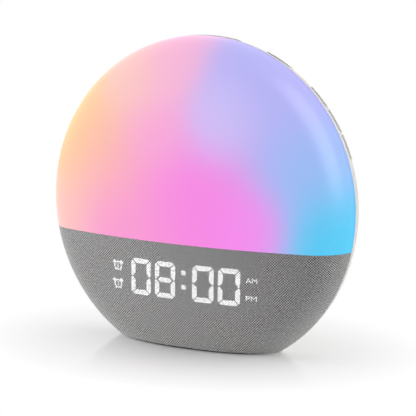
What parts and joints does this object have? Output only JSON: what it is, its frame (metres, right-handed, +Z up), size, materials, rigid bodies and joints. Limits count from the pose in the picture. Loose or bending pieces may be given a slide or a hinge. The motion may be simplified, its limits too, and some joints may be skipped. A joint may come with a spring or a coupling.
{
  "type": "sunrise alarm clock",
  "caption": "Round sunrise alarm clock with a lit diffuser dome over a cloth-covered display and push keys on the rim of its rear housing.",
  "frame": {"origin": "in the plane the clock stands on, straight below the centre of the round rim", "axes": "+Z up, -Y out of the display, +X to the right as seen from the front"},
  "size_m": [0.18, 0.0708, 0.1665],
  "materials": {
    "diffuser": "translucent dome lit from inside, satin gloss",
    "fabric": "fine speaker cloth in mixed greys",
    "housing_white": "fine satin moulding",
    "key_grey": "satin caps",
    "foot_rubber": "matt rubber sheet",
    "inner_white": "moulded white plastic",
    "clear_plastic": "clear moulding, frosted fingers",
    "circuit_board": "glass-fibre board with green mask",
    "lamp_board": "glass-fibre board with white mask",
    "led": "white package with yellow phosphor",
    "screw_steel": "zinc plated",
    "flex_strip": "polyimide strip",
    "switch_black": "black moulding",
    "capacitor": "aluminium can",
    "socket_nylon": "natural nylon",
    "cell_steel": "nickel-plated can",
    "contact_brass": "plated contact pin",
    "gasket_foam": "black foam and rubber",
    "speaker_steel": "black enamelled basket",
    "magnet": "ferrite in a plated yoke",
    "cone_paper": "pressed paper cone",
    "lead_jacket": "soft jacket over two cores"
  },
  "bodies": {
    "root": {"board_sockets": "socket_nylon", "capacitors": "capacitor", "carrier_screws": "screw_steel", "cell_holder": "switch_black", "chassis": "inner_white", "coin_cell": "cell_steel", "control_chips": "switch_black", "diffuser_dome": "diffuser", "display_board": "circuit_board", "display_leds": "led", "display_reflector": "inner_white", "display_ribbon": "flex_strip", "display_screws": "screw_steel", "fabric_cover": "fabric", "front_carrier": "inner_white", "housing_screws": "screw_steel", "key_strip": "flex_strip", "key_switches": "switch_black", "lamp_board": "lamp_board", "lamp_board_screws": "screw_steel", "lamp_lead": "lead_jacket", "lamp_leds": "led", "light_guide": "clear_plastic", "main_board": "circuit_board", "main_board_screws": "screw_steel", "power_jack": "switch_black", "power_jack_pin": "contact_brass", "rear_housing": "housing_white", "rubber_foot": "foot_rubber", "speaker_frame": "speaker_steel", "speaker_gasket": "gasket_foam", "speaker_lead": "lead_jacket", "speaker_magnet": "magnet", "speaker_screws": "screw_steel", "speaker_surround": "gasket_foam"},
    "snooze_key": {"snooze_key": "key_grey"},
    "lamp_key_left": {"lamp_key_left": "key_grey"},
    "left_key_1": {"left_key_1": "key_grey"},
    "left_key_2": {"left_key_2": "key_grey"},
    "left_key_3": {"left_key_3": "key_grey"},
    "lamp_key_right": {"lamp_key_right": "key_grey"},
    "right_key_1": {"right_key_1": "key_grey"},
    "right_key_2": {"right_key_2": "key_grey"},
    "right_key_3": {"right_key_3": "key_grey"},
    "speaker_cone": {"speaker_cone": "cone_paper"}
  },
  "joints": [
    {"name": "snooze_key_press", "type": "slide", "parent": "root", "child": "snooze_key", "axis": [0, 0, -1], "range_m": [0, 0.0005], "stiffness_N_per_m": 600},
    {"name": "lamp_key_left_press", "type": "slide", "parent": "root", "child": "lamp_key_left", "axis": [0.4648, 0, -0.8854], "range_m": [0, 0.0005], "stiffness_N_per_m": 600},
    {"name": "left_key_1_press", "type": "slide", "parent": "root", "child": "left_key_1", "axis": [0.7314, 0, -0.682], "range_m": [0, 0.0005], "stiffness_N_per_m": 600},
    {"name": "left_key_2_press", "type": "slide", "parent": "root", "child": "left_key_2", "axis": [0.8353, 0, -0.5498], "range_m": [0, 0.0005], "stiffness_N_per_m": 600},
    {"name": "left_key_3_press", "type": "slide", "parent": "root", "child": "left_key_3", "axis": [0.9157, 0, -0.4019], "range_m": [0, 0.0005], "stiffness_N_per_m": 600},
    {"name": "lamp_key_right_press", "type": "slide", "parent": "root", "child": "lamp_key_right", "axis": [-0.4648, 0, -0.8854], "range_m": [0, 0.0005], "stiffness_N_per_m": 600},
    {"name": "right_key_1_press", "type": "slide", "parent": "root", "child": "right_key_1", "axis": [-0.7314, 0, -0.682], "range_m": [0, 0.0005], "stiffness_N_per_m": 600},
    {"name": "right_key_2_press", "type": "slide", "parent": "root", "child": "right_key_2", "axis": [-0.8353, 0, -0.5498], "range_m": [0, 0.0005], "stiffness_N_per_m": 600},
    {"name": "right_key_3_press", "type": "slide", "parent": "root", "child": "right_key_3", "axis": [-0.9157, 0, -0.4019], "range_m": [0, 0.0005], "stiffness_N_per_m": 600},
    {"name": "speaker_cone_throw", "type": "slide", "parent": "root", "child": "speaker_cone", "axis": [0, 1, 0], "range_m": [-0.0008, 0.0008], "stiffness_N_per_m": 800, "deforming": ["speaker_surround"]}
  ]
}
